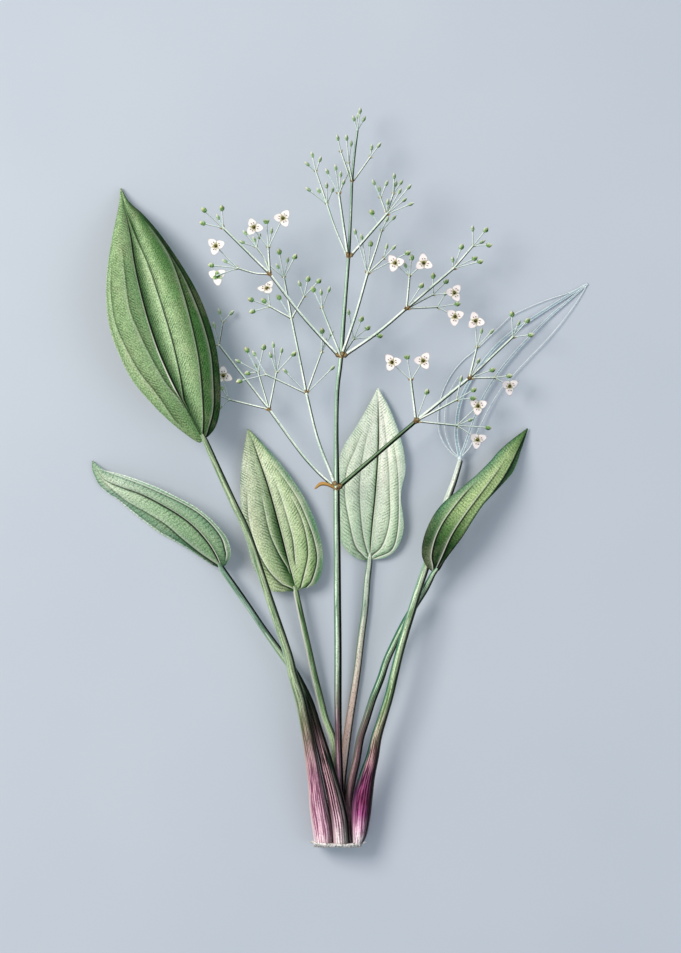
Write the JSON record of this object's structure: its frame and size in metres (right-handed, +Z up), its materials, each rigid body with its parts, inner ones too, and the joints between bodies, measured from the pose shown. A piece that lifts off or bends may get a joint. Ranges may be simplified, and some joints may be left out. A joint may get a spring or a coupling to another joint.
{
  "type": "water plantain plant",
  "caption": "Flowering water plantain cut off at its crown and laid on its side: stalked oval leaves in a clump round a tall flower stem with whorled branches.",
  "frame": {"origin": "on the surface that the plant lies on, under the middle of its bounding box", "axes": "+Y from the cut crown to the top bud of the flower stem, +X across the plant, +Z up from the surface"},
  "size_m": [0.2492, 0.3707, 0.0371],
  "materials": {
    "leaf_green": "satin leaf surface with sunken veins",
    "leaf_pale": "matt pale underside of a leaf with raised veins",
    "leaf_veins": "matt, dry and pale",
    "petiole": "satin, ribbed along its length, flushed purple at the sheaths",
    "flower_stem": "satin, finely ribbed along its length",
    "twig": "matt twigs, green buds and tan bracts",
    "petals": "matt, white flushed with pink",
    "crown": "rough, fibrous, pale brown"
  },
  "bodies": {
    "root": {"crown": "crown", "flower_stem": "flower_stem", "leaf_upper_left_blade": "leaf_green", "leaf_upper_left_petiole": "petiole", "leaf_lower_left_blade": "leaf_green", "leaf_lower_left_petiole": "petiole", "leaf_middle_left_blade": "leaf_green", "leaf_middle_left_petiole": "petiole", "leaf_centre_blade": "leaf_pale", "leaf_centre_petiole": "petiole", "leaf_right_blade": "leaf_green", "leaf_right_petiole": "petiole", "leaf_far_right_veins": "leaf_veins", "leaf_far_right_petiole": "petiole", "branch_1_left": "twig", "twig_1_left_outer": "twig", "twig_1_left_inner": "twig", "branch_1_back": "twig", "twig_1_back_upper": "twig", "twig_1_back_lower": "twig", "branch_1_right": "twig", "twig_1_right_upper": "twig", "twig_1_right_middle": "twig", "twig_1_right_lower": "twig", "twig_1_right_outer": "twig", "branch_2_left": "twig", "twig_2_left_outer": "twig", "twig_2_left_upper": "twig", "twig_2_left_inner": "twig", "branch_2_small_left": "twig", "branch_2_small_right": "twig", "branch_2_upright": "twig", "branch_2_right": "twig", "twig_2_right_upper": "twig", "twig_2_right_middle": "twig", "twig_2_right_lower": "twig", "branch_3_left": "twig", "branch_3_middle": "twig", "branch_3_right": "twig", "branch_4_left": "twig", "branch_4_middle": "twig", "branch_4_right": "twig", "flower_1_left": "petals", "flower_1_back": "petals", "flower_1_right_a": "petals", "flower_1_right_b": "petals", "flower_1_right_c": "petals", "flower_1_right_d": "petals", "flower_1_right_outer": "petals", "flower_1_right_tip": "petals", "flower_2_left_a": "petals", "flower_2_left_b": "petals", "flower_2_left_c": "petals", "flower_2_left_d": "petals", "flower_2_right_a": "petals", "flower_2_right_b": "petals", "flower_2_right_c": "petals", "flower_2_right_d": "petals"}
  },
  "joints": []
}
